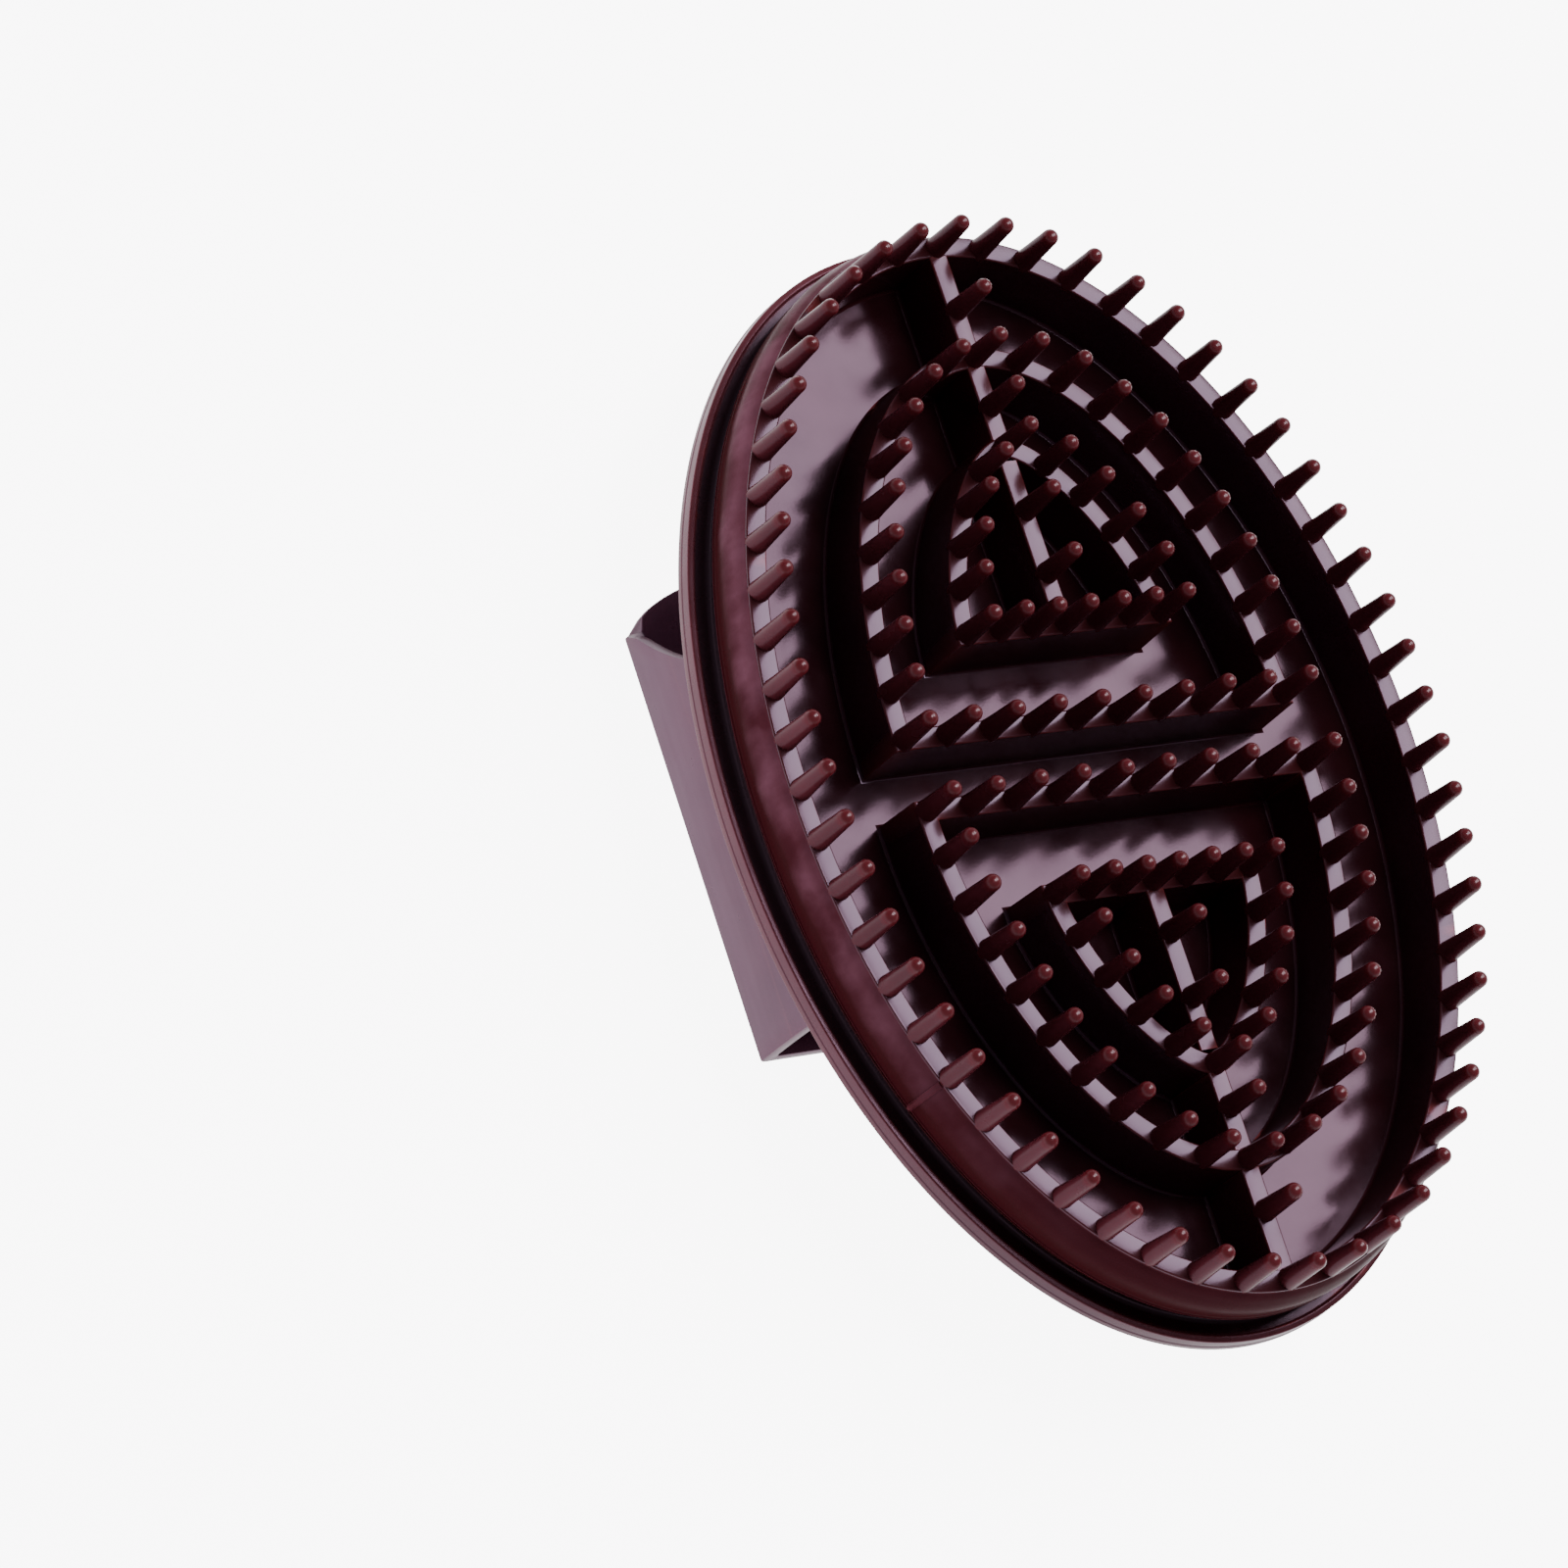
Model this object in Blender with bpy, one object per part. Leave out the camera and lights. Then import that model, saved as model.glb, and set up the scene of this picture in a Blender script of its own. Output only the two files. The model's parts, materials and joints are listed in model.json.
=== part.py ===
"""Oval rubber curry brush with a hand strap, lying on the strap with its pins up.

The frame is in metres with +Z up. Its origin is on the floor, under the middle of the oval.
Y runs along the oval, from the heel end to the toe end, and X runs across it.
"""
from math import copysign, cos, hypot, pi, sin

import bmesh
import bpy
from mathutils import Matrix, Vector

# Driving dimensions, in metres
RING_HALF_LENGTH = 0.0775       # ring of pins, measured to the middle of the pins
RING_HALF_WIDTH = 0.0508
RING_PINS = 56
# The ring is made in lengths with the same number of pins, anticlockwise from the right
RING_LENGTHS = ["right", "toe_right", "toe", "toe_left", "left", "heel_left", "heel", "heel_right"]
FLANGE_REACH = 0.0050           # the flange's edge, out from the ring of pins
PIN_HEIGHT = 0.0085
PIN_ROOT_RADIUS = 0.00145
PIN_TIP_RADIUS = 0.0010
PIN_SIDES = 6
PIN_SUNK = 0.0006               # how far a pin's root starts inside its rib
RIB_WIDTH = 0.0030
RIB_DRAFT = 0.0002              # a rib's foot is wider than its top by this on each side
RIB_HEIGHT = 0.0094             # from the floor of the trays to the top of the ribs
WEB_THICKNESS = 0.0042
FLANGE_THICKNESS = 0.0026
NECK_RISE = 0.0031              # the groove between the flange and the ring's wall
NECK_REACH = 0.0033
GAP = 0.0003                    # between pieces that touch on the real object

# Each end of the pad has two D-shaped ribs, one inside the other. A D is a straight chord and an
# arch, which is made in three lengths: a side, the crown and the other side. side_steps and
# side_pins are how many of the arch's steps and pins are in one side.
OUTER_D = {"chord": 0.0052, "rise": 0.0550, "half_width": 0.0323, "exponent": 1.95,
           "arc_pins": 21, "side_pins": 8, "chord_pins": 10, "arc_steps": 40, "side_steps": 15}
INNER_D = {"chord": 0.0193, "rise": 0.0269, "half_width": 0.0165, "exponent": 1.55,
           "arc_pins": 11, "side_pins": 4, "chord_pins": 7, "arc_steps": 20, "side_steps": 7}
SPINE_PINS = {"rim": [0.0677], "mid": [0.0526], "inner": [0.0270, 0.0366]}

# Hand strap
STRAP_THICKNESS = 0.0020
STRAP_CLEARANCE = 0.0191        # from the floor to the back of the pad
STRAP_AXIS_X = 0.0478           # the flanks' middle planes
STRAP_ROOT_AXIS_Z = 0.0155
STRAP_ROOT_HALF_LENGTH = 0.0270
STRAP_FOLD_HALF_LENGTH = 0.0320
STRAP_FOLD_SHIFT = 0.0052       # the loop leans towards the toe end
STRAP_TOE_BULGE = 0.0070        # the back panel's toe edge bows out between the folds
STRAP_TOE_FULLNESS = 5          # the power that makes the bow flat in its middle
STRAP_ROOT_WIDTH = 0.0045
FOLD_GAP = 0.0010               # room for a flank to turn against the back panel

OUTLINE_STEPS = 112
FINE_STEPS = 560                # for measuring along a curve
PANEL_STEPS = 16
ROUND_END_STEPS = 6
UNIT_SPAN = 2.0                 # a flank's length before it is stretched, from -1 to 1
WELD_DISTANCE = 0.00001
SHARP_ANGLE = pi / 6

# Heights worked out from the sizes above
BACK_Z = STRAP_CLEARANCE
WEB_TOP_Z = BACK_Z + WEB_THICKNESS
LAND_Z = WEB_TOP_Z + RIB_HEIGHT
FLANGE_TOP_Z = BACK_Z + FLANGE_THICKNESS
NECK_TOP_Z = FLANGE_TOP_Z + NECK_RISE
FOLD_AXIS_Z = STRAP_THICKNESS / 2

MAROON = (0.060, 0.014, 0.016, 1.0)
DARK_MAROON = (0.040, 0.010, 0.013, 1.0)
GLOSSY = 0.32                   # roughness of the moulded rubber


def clear_scene():
    for old in list(bpy.data.objects):
        bpy.data.objects.remove(old, do_unlink=True)


def new_collection(name):
    collection = bpy.data.collections.new(name)
    bpy.context.scene.collection.children.link(collection)
    return collection


def rubber(name, colour):
    material = bpy.data.materials.new(name)
    material.use_nodes = True
    shader = material.node_tree.nodes["Principled BSDF"]
    shader.inputs["Base Color"].default_value = colour
    shader.inputs["Roughness"].default_value = GLOSSY
    shader.inputs["Metallic"].default_value = 0.0
    return material


def add_mesh(name, mesh, collection, colour=MAROON):
    piece = bpy.data.objects.new(name, mesh)
    collection.objects.link(piece)
    mesh.materials.clear()
    mesh.materials.append(rubber(name + "_rubber", colour))
    mesh.shade_smooth()
    mesh.set_sharp_from_angle(angle=SHARP_ANGLE)
    return piece


def power(value, exponent):
    """The value to a power, with its own sign."""
    return copysign(abs(value) ** exponent, value)


def oval(half_width, half_length, steps):
    """An ellipse, anticlockwise from above."""
    angles = [2 * pi * step / steps for step in range(steps)]
    return [(half_width * cos(angle), half_length * sin(angle)) for angle in angles]


def evenly_along(path, count):
    """Points an equal distance apart along an open path, both ends among them."""
    lengths = [hypot(b[0] - a[0], b[1] - a[1]) for a, b in zip(path, path[1:])]
    total = sum(lengths)
    points = [path[0]]
    walked = 0.0
    for (a, b), length in zip(zip(path, path[1:]), lengths):
        while len(points) < count - 1 and walked + length >= total * len(points) / (count - 1):
            part = (total * len(points) / (count - 1) - walked) / length
            points.append((a[0] + part * (b[0] - a[0]), a[1] + part * (b[1] - a[1])))
        walked += length
    return points + [path[-1]]


def ring_outline(count):
    """Points an equal distance apart round the ring of pins, from its right end."""
    full_turn = oval(RING_HALF_WIDTH, RING_HALF_LENGTH, FINE_STEPS)
    return evenly_along(full_turn + full_turn[:1], count + 1)[:-1]


def arch(shape, count):
    """The arched side of a D-shaped rib, from its right corner round to its left corner."""
    exponent = 2 / shape["exponent"]
    angles = [pi * step / FINE_STEPS for step in range(FINE_STEPS + 1)]
    curve = [(shape["half_width"] * power(cos(angle), exponent),
              shape["chord"] + shape["rise"] * power(sin(angle), exponent)) for angle in angles]
    return evenly_along(curve, count)


def extended(start, after):
    """The point as far before the start as the next one is after it."""
    return (2 * start[0] - after[0], 2 * start[1] - after[1])


def grown(outline, distance, closed=True):
    """An anticlockwise outline moved outwards, with square corners kept square."""
    first = outline[-1] if closed else extended(outline[0], outline[1])
    last = outline[0] if closed else extended(outline[-1], outline[-2])
    result = []
    for before, here, after in zip([first] + outline[:-1], outline, outline[1:] + [last]):
        arriving = (Vector(here) - Vector(before)).normalized()
        leaving = (Vector(after) - Vector(here)).normalized()
        middle = (arriving + leaving).normalized()
        outwards = Vector((middle.y, -middle.x))
        reach = distance / middle.dot(leaving)
        result.append(tuple(Vector(here) + reach * outwards))
    return result


def shortened(path, start, finish):
    """An open path with this much taken off its two ends."""
    first = Vector(path[0]).lerp(Vector(path[1]), start / (Vector(path[1]) - Vector(path[0])).length)
    last = Vector(path[-1]).lerp(Vector(path[-2]), finish / (Vector(path[-2]) - Vector(path[-1])).length)
    return [tuple(first)] + path[1:-1] + [tuple(last)]


def swept_wall(name, outline, section, collection, closed=True):
    """A loft of a closed section of (reach, height) points along an outline, with mitred corners."""
    mesh = bpy.data.meshes.new(name)
    form = bmesh.new()
    loops = []
    for reach, height in section:
        loops.append([form.verts.new((x, y, height)) for x, y in grown(outline, reach, closed)])
    for inner, outer in zip(loops, loops[1:] + loops[:1]):
        for step in range(len(outline) if closed else len(outline) - 1):
            following = (step + 1) % len(outline)
            form.faces.new((inner[step], inner[following], outer[following], outer[step]))
    if not closed:
        form.faces.new([loop[0] for loop in loops])
        form.faces.new([loop[-1] for loop in loops])
    bmesh.ops.recalc_face_normals(form, faces=form.faces)
    form.to_mesh(mesh)
    form.free()
    return add_mesh(name, mesh, collection)


def extruded(name, outline, depth, collection, colour=MAROON):
    """A flat outline given a thickness, centred on its own plane."""
    curve = bpy.data.curves.new(name, "CURVE")
    curve.dimensions = "2D"
    curve.fill_mode = "BOTH"
    curve.extrude = depth / 2
    spline = curve.splines.new("POLY")
    spline.points.add(len(outline) - 1)
    for point, (x, y) in zip(spline.points, outline):
        point.co = (x, y, 0.0, 1.0)
    spline.use_cyclic_u = True
    shape = bpy.data.objects.new(name + "_curve", curve)
    collection.objects.link(shape)
    bpy.context.view_layer.update()
    evaluated = shape.evaluated_get(bpy.context.evaluated_depsgraph_get())
    mesh = bpy.data.meshes.new_from_object(evaluated)
    bpy.data.objects.remove(shape, do_unlink=True)
    form = bmesh.new()
    form.from_mesh(mesh)
    bmesh.ops.remove_doubles(form, verts=form.verts, dist=WELD_DISTANCE)
    bmesh.ops.recalc_face_normals(form, faces=form.faces)
    form.to_mesh(mesh)
    form.free()
    mesh.name = name
    return add_mesh(name, mesh, collection, colour)


def add_pins(rib, places, cutters):
    """Tapered pins on top of a rib, made one solid with it."""
    mesh = bpy.data.meshes.new(rib.name + "_pins")
    form = bmesh.new()
    depth = PIN_HEIGHT + PIN_SUNK
    for x, y in places:
        middle = Matrix.Translation((x, y, LAND_Z - PIN_SUNK + depth / 2))
        bmesh.ops.create_cone(form, cap_ends=True, segments=PIN_SIDES, radius1=PIN_ROOT_RADIUS,
                              radius2=PIN_TIP_RADIUS, depth=depth, matrix=middle)
    form.to_mesh(mesh)
    form.free()
    pins = bpy.data.objects.new(rib.name + "_pins", mesh)
    cutters.objects.link(pins)
    pins.hide_render = True
    pins.display_type = "WIRE"
    union = rib.modifiers.new("pins", "BOOLEAN")
    union.operation = "UNION"
    union.object = pins


def mirrored(points, end):
    """Points turned to the toe end (end = 1) or the heel end (end = -1), still anticlockwise."""
    if end > 0:
        return points
    return [(x, -y) for x, y in reversed(points)]


def toe_crossing(outline, x):
    """The y of the toe-most point where an outline crosses the line at x."""
    crossings = []
    for a, b in zip(outline, outline[1:] + outline[:1]):
        if (a[0] - x) * (b[0] - x) <= 0 and a[0] != b[0]:
            crossings.append(a[1] + (x - a[0]) / (b[0] - a[0]) * (b[1] - a[1]))
    return max(crossings)


def rib_section(reach):
    """A straight rib's cross-section, with a little draft on both sides."""
    foot = WEB_TOP_Z + GAP
    return [(-reach, LAND_Z), (reach, LAND_Z), (reach + RIB_DRAFT, foot), (-reach - RIB_DRAFT, foot)]


def make_pad(parts, cutters):
    ring = ring_outline(OUTLINE_STEPS)
    inside = -RIB_WIDTH / 2
    web = extruded("floor_web", grown(ring, inside - RIB_DRAFT - GAP), WEB_THICKNESS, parts, DARK_MAROON)
    web.location.z = BACK_Z + WEB_THICKNESS / 2

    edge_round = FLANGE_THICKNESS / 4
    swept_wall("rim_flange", ring, [
        (inside - RIB_DRAFT, BACK_Z),
        (FLANGE_REACH - edge_round, BACK_Z),
        (FLANGE_REACH, BACK_Z + edge_round),
        (FLANGE_REACH, FLANGE_TOP_Z - edge_round),
        (FLANGE_REACH - edge_round, FLANGE_TOP_Z),
        (inside - RIB_DRAFT, FLANGE_TOP_Z),
    ], parts)

    make_ring(ring, parts, cutters)


def make_ring(ring, parts, cutters):
    """The outer wall: a groove above the flange, a bulging side and a land with pins."""
    inside = -RIB_WIDTH / 2
    wall_foot = FLANGE_TOP_Z + GAP
    wall_rise = LAND_Z - NECK_TOP_Z
    section = [
        (inside, LAND_Z),
        (inside - RIB_DRAFT, wall_foot),
        (NECK_REACH - RIB_DRAFT, wall_foot),
        (NECK_REACH, NECK_TOP_Z),
        (NECK_REACH - RIB_DRAFT, NECK_TOP_Z + wall_rise / 2),
        (-inside, LAND_Z),
    ]
    pins = ring_outline(RING_PINS)
    steps = OUTLINE_STEPS // len(RING_LENGTHS)
    share = RING_PINS // len(RING_LENGTHS)
    for place, name in enumerate(RING_LENGTHS):
        first = place * steps - steps // 2
        path = [ring[step % OUTLINE_STEPS] for step in range(first, first + steps + 1)]
        path = shortened(path, GAP / 2, GAP / 2)
        wall = swept_wall(f"ring_{name}", path, section, parts, closed=False)
        first = place * share - share // 2
        add_pins(wall, [pins[pin % RING_PINS] for pin in range(first, first + share)], cutters)


def make_d_rib(name, shape, end, parts, cutters):
    """One D-shaped rib in four lengths, with pins along its arch and between them along its chord."""
    arc = arch(shape, shape["arc_steps"] + 1)
    arc_pins = arch(shape, shape["arc_pins"])
    steps = shape["side_steps"]
    pins = shape["side_pins"]
    foot_half = RIB_WIDTH / 2 + RIB_DRAFT
    chord_ends = [(side * (shape["half_width"] - foot_half - GAP), shape["chord"]) for side in (-1, 1)]
    chord_pins = evenly_along([arc[-1], arc[0]], shape["chord_pins"])
    lengths = {
        "right": ([(arc[0][0], arc[0][1] - foot_half)] + shortened(arc[:steps + 1], 0, GAP / 2),
                  arc_pins[:pins]),
        "crown": (shortened(arc[steps:-steps], GAP / 2, GAP / 2), arc_pins[pins:-pins]),
        "left": (shortened(arc[-steps - 1:], GAP / 2, 0) + [(arc[-1][0], arc[-1][1] - foot_half)],
                 arc_pins[-pins:]),
        "chord": (chord_ends, chord_pins[1:-1]),
    }
    for place, (path, places) in lengths.items():
        section = rib_section(RIB_WIDTH / 2)
        rib = swept_wall(f"{name}_{place}", mirrored(path, end), section, parts, closed=False)
        add_pins(rib, mirrored(places, end), cutters)


def make_spine(end, parts, cutters):
    """The ribs along the middle line, between the ring and the D ribs and inside the inner one."""
    end_name = "toe" if end > 0 else "heel"
    half = RIB_WIDTH / 2
    face = half + RIB_DRAFT + GAP
    ring = ring_outline(OUTLINE_STEPS)
    outer = arch(OUTER_D, OUTER_D["arc_steps"] + 1)
    inner = arch(INNER_D, INNER_D["arc_steps"] + 1)
    spans = {
        "rim": (toe_crossing(grown(outer, face), 0), toe_crossing(grown(ring, -face), half)),
        "mid": (toe_crossing(grown(inner, face), 0), toe_crossing(grown(outer, -face), half)),
        "inner": (INNER_D["chord"] + face, toe_crossing(grown(inner, -face), half)),
    }
    foot = WEB_TOP_Z + GAP
    for place, (start, finish) in spans.items():
        size = Matrix.Diagonal((RIB_WIDTH, finish - start, LAND_Z - foot, 1.0))
        middle = Matrix.Translation((0.0, end * (start + finish) / 2, (LAND_Z + foot) / 2))
        mesh = bpy.data.meshes.new(f"{end_name}_spine_{place}")
        form = bmesh.new()
        bmesh.ops.create_cube(form, size=1.0, matrix=middle @ size)
        form.to_mesh(mesh)
        form.free()
        spine = add_mesh(f"{end_name}_spine_{place}", mesh, parts)
        add_pins(spine, [(0.0, end * y) for y in SPINE_PINS[place]], cutters)


def stadium(top_z, bottom_z):
    """A flank's cross-section: straight sides and round ends, as (across, height) points."""
    radius = STRAP_THICKNESS / 2
    points = []
    for centre, first in ((top_z, 0.0), (bottom_z, pi)):
        for step in range(ROUND_END_STEPS + 1):
            angle = first + pi * step / ROUND_END_STEPS
            points.append((radius * cos(angle), centre + radius * sin(angle)))
    return points


def make_flank(side, parts):
    """A side of the strap's loop, from its root on the pad down to its fold."""
    side_name = "right" if side > 0 else "left"
    name = f"strap_{side_name}_flank"
    flank = extruded(name, stadium(STRAP_ROOT_AXIS_Z, FOLD_AXIS_Z), UNIT_SPAN, parts)
    widening = STRAP_FOLD_HALF_LENGTH - STRAP_ROOT_HALF_LENGTH
    for vertex in flank.data.vertices:
        x, z, along = vertex.co
        lowered = (STRAP_ROOT_AXIS_Z - z) / (STRAP_ROOT_AXIS_Z - FOLD_AXIS_Z)
        half_length = STRAP_ROOT_HALF_LENGTH + lowered * widening
        y = along * half_length + lowered * STRAP_FOLD_SHIFT
        vertex.co = (x, y, z - STRAP_ROOT_AXIS_Z)
    flank.data.flip_normals()
    flank.location = (side * STRAP_AXIS_X, 0.0, STRAP_ROOT_AXIS_Z)


def make_root(side, parts):
    """The thick root that joins a flank to the back of the pad."""
    side_name = "right" if side > 0 else "left"
    foot = STRAP_ROOT_AXIS_Z + STRAP_THICKNESS / 2 + GAP
    top = BACK_Z - GAP
    half = STRAP_ROOT_WIDTH / 2
    length = STRAP_ROOT_HALF_LENGTH
    plan = [(-half, -length), (half, -length), (half, length), (-half, length)]
    root = extruded(f"strap_{side_name}_root", plan, top - foot, parts)
    root.location = (side * STRAP_AXIS_X, 0.0, (top + foot) / 2)


def make_strap(parts):
    """The loop under the pad: two flanks and the flat panel between their folds."""
    for side in (-1, 1):
        make_root(side, parts)
        make_flank(side, parts)

    end_x = STRAP_AXIS_X - STRAP_THICKNESS / 2 - FOLD_GAP
    toe_y = STRAP_FOLD_SHIFT + STRAP_FOLD_HALF_LENGTH
    heel_y = STRAP_FOLD_SHIFT - STRAP_FOLD_HALF_LENGTH
    across = [end_x * (2 * step / PANEL_STEPS - 1) for step in range(PANEL_STEPS + 1)]
    toe_edge = [(x, toe_y + STRAP_TOE_BULGE * (1 - (x / end_x) ** STRAP_TOE_FULLNESS))
                for x in reversed(across)]
    heel_edge = [(-end_x, heel_y), (end_x, heel_y)]
    panel = extruded("strap_back_panel", heel_edge + toe_edge, STRAP_THICKNESS, parts)
    panel.location.z = FOLD_AXIS_Z


def main():
    clear_scene()
    parts = new_collection("rubber_curry_brush")
    cutters = new_collection("cutters")
    make_pad(parts, cutters)
    for end, end_name in ((1, "toe"), (-1, "heel")):
        make_d_rib(f"{end_name}_outer", OUTER_D, end, parts, cutters)
        make_d_rib(f"{end_name}_inner", INNER_D, end, parts, cutters)
        make_spine(end, parts, cutters)
    make_strap(parts)


main()
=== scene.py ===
"""The looks of an oval rubber curry brush with a hand strap: fine moulded meshes, rubber and studio.

Metres, +Z up. The brush lies on its strap with its pins up, its toe end at +Y.
"""

import json
from math import cos, exp, hypot, pi, sin, tan
from random import Random

import bmesh
import bpy
from mathutils import Matrix, Vector


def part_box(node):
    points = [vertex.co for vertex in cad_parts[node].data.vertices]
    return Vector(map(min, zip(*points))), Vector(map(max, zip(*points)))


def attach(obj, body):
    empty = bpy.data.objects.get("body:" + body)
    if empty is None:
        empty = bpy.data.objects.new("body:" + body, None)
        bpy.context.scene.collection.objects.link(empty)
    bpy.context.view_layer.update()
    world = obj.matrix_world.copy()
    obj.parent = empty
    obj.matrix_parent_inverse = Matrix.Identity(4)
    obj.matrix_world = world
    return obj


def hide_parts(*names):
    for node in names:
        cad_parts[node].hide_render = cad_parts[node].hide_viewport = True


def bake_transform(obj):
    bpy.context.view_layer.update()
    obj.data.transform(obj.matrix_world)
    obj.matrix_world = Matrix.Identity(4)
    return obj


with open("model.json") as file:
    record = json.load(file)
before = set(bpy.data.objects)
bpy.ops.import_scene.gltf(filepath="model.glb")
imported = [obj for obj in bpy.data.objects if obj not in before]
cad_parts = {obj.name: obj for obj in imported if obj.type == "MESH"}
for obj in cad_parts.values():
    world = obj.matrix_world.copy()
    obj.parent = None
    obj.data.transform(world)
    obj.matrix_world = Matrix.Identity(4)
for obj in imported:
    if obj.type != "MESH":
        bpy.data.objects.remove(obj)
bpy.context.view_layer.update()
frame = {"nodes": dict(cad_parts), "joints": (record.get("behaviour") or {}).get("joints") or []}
nodes = frame["nodes"]

# The CAD model's own driving sizes that its boxes don't give, in metres
PIN_HEIGHT = 0.0085
RIB_WIDTH = 0.0030
RIB_DRAFT = 0.0002              # how much further out a rib's foot is than its land, each side
HALF_FOOT = RIB_WIDTH / 2 + RIB_DRAFT
FLANGE_REACH = 0.0050           # from the ring's middle line out to the flange's edge

# Sizes read from the frame
BACK_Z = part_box("rim_flange")[0].z
FLANGE_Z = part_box("rim_flange")[1].z
FLOOR_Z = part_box("floor_web")[1].z
TOP_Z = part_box("ring_toe")[1].z
LAND_Z = TOP_Z - PIN_HEIGHT
RING_HALF_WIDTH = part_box("rim_flange")[1].x - FLANGE_REACH
RING_HALF_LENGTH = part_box("rim_flange")[1].y - FLANGE_REACH
STRAP_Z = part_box("strap_back_panel")[1].z
SWAY, LEFT_FOLD, RIGHT_FOLD = [Vector(joint["pos_m"]) for joint in frame["joints"]]

# The two nested D-shaped ribs at each end: how full their arches are, and their pins, corners counted
EXPONENTS = {"outer": 1.95, "inner": 1.55}
ARC_PINS = {"outer": 21, "inner": 11}
CHORD_PINS = {"outer": 10, "inner": 7}
ARCH_STEPS = {"outer": 150, "inner": 80}
SPINE_PINS = {"rim": [0.0677], "mid": [0.0526], "inner": [0.0270, 0.0366]}      # toe-end Y of each
RING_PINS = 56

# Small rounds of the moulding
LAND_ROUND = 0.00028
FOOT_ROUND = 0.00070
FOOT_TAIL = HALF_FOOT + 2 * FOOT_ROUND      # where a foot's fillet ends under the floor
SINK = 0.00012                  # how far a foot's tail lies under the floor
ROUND_STEPS = 4
RING_STEPS = 336
FINE_STEPS = 1200
SHARP_ANGLE = pi / 5            # faces that meet at more than this keep a crisp edge

# A pin's outline, as (radius, height above the land), up to its dome
PIN_TIP_RADIUS = 0.00122
PIN_PROFILE = [(0.00160, -0.0007), (0.00165, -0.0003), (0.00162, 0.0), (0.00156, 0.0006), (0.00153, 0.0010),
               (0.00147, 0.0020), (0.00139, 0.0036), (0.00131, 0.0052), (0.00126, 0.0062)]
PIN_SIDES = 20
DOME_STEPS = 6
PIN_LEAN = 0.00012              # the most that a pin's tip strays from upright
LEAN_SEED = 3


# Outlines ---------------------------------------------------------------------------------------

def power(value, exponent):
    """A power that keeps the value's sign."""
    return abs(value) ** exponent * (1 if value >= 0 else -1)


def oval(half_width, half_length, steps):
    """An ellipse, anticlockwise from above, from its right end."""
    angles = [2 * pi * step / steps for step in range(steps)]
    return [(half_width * cos(angle), half_length * sin(angle)) for angle in angles]


def evenly_along(path, count):
    """Points an equal distance apart along an open path, both ends among them."""
    lengths = [hypot(b[0] - a[0], b[1] - a[1]) for a, b in zip(path, path[1:])]
    total = sum(lengths)
    points = [path[0]]
    walked = 0.0
    for (a, b), length in zip(zip(path, path[1:]), lengths):
        while len(points) < count - 1 and walked + length >= total * len(points) / (count - 1):
            part = (total * len(points) / (count - 1) - walked) / length
            points.append((a[0] + part * (b[0] - a[0]), a[1] + part * (b[1] - a[1])))
        walked += length
    return points + [path[-1]]


def ring_outline(count):
    """The oval ring's middle line, as points an equal distance apart."""
    full = oval(RING_HALF_WIDTH, RING_HALF_LENGTH, FINE_STEPS)
    return evenly_along(full + full[:1], count + 1)[:-1]


def d_size(which):
    """Where a toe-end D's chord lies, how far its arch rises from it, and half its width."""
    chord_low, chord_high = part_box(f"toe_{which}_chord")
    crown_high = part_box(f"toe_{which}_crown")[1]
    side_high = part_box(f"toe_{which}_right")[1]
    chord = (chord_low.y + chord_high.y) / 2
    return chord, crown_high.y - HALF_FOOT - chord, side_high.x - HALF_FOOT


def arch(which, count):
    """The arched side of a D, from its right corner round to its left corner."""
    chord, rise, half_width = d_size(which)
    exponent = 2 / EXPONENTS[which]
    angles = [pi * step / FINE_STEPS for step in range(FINE_STEPS + 1)]
    curve = [(half_width * power(cos(angle), exponent), chord + rise * power(sin(angle), exponent))
             for angle in angles]
    return evenly_along(curve, count)


def grown(outline, distance):
    """A closed anticlockwise outline moved outwards, with square corners kept square."""
    result = []
    for before, here, after in zip(outline[-1:] + outline[:-1], outline, outline[1:] + outline[:1]):
        arriving = (Vector(here) - Vector(before)).normalized()
        leaving = (Vector(after) - Vector(here)).normalized()
        middle = (arriving + leaving).normalized()
        outwards = Vector((middle.y, -middle.x))
        result.append(tuple(Vector(here) + distance / middle.dot(leaving) * outwards))
    return result


def mirrored(points, end):
    """Points turned to the toe end (end = 1) or the heel end (end = -1), still anticlockwise."""
    if end > 0:
        return points
    return [(x, -y) for x, y in reversed(points)]


def rounded(corners):
    """A section's (reach, height, round) corners with each round made an arc."""
    points = []
    count = len(corners)
    for index, (x, z, radius) in enumerate(corners):
        here = Vector((x, z))
        if radius == 0:
            points.append((x, z))
            continue
        before = Vector(corners[index - 1][:2]) - here
        after = Vector(corners[(index + 1) % count][:2]) - here
        half_angle = before.angle(after) / 2
        reach = radius / tan(half_angle)
        start = here + reach * before.normalized()
        finish = here + reach * after.normalized()
        centre = here + radius / sin(half_angle) * (before.normalized() + after.normalized()).normalized()
        arc = (start - centre).angle_signed(finish - centre)
        for step in range(ROUND_STEPS + 1):
            turned = Matrix.Rotation(-arc * step / ROUND_STEPS, 2) @ (start - centre)
            points.append(tuple(centre + turned))
    return points


# Meshes -----------------------------------------------------------------------------------------

def add_piece(name, form, material):
    """A finished mesh as an object, smooth but for its sharp edges."""
    mesh = bpy.data.meshes.new(name)
    bmesh.ops.recalc_face_normals(form, faces=form.faces)
    form.to_mesh(mesh)
    form.free()
    mesh.materials.append(material)
    mesh.shade_smooth()
    mesh.set_sharp_from_angle(angle=SHARP_ANGLE)
    piece = bpy.data.objects.new(name, mesh)
    bpy.context.scene.collection.objects.link(piece)
    return piece


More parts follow.
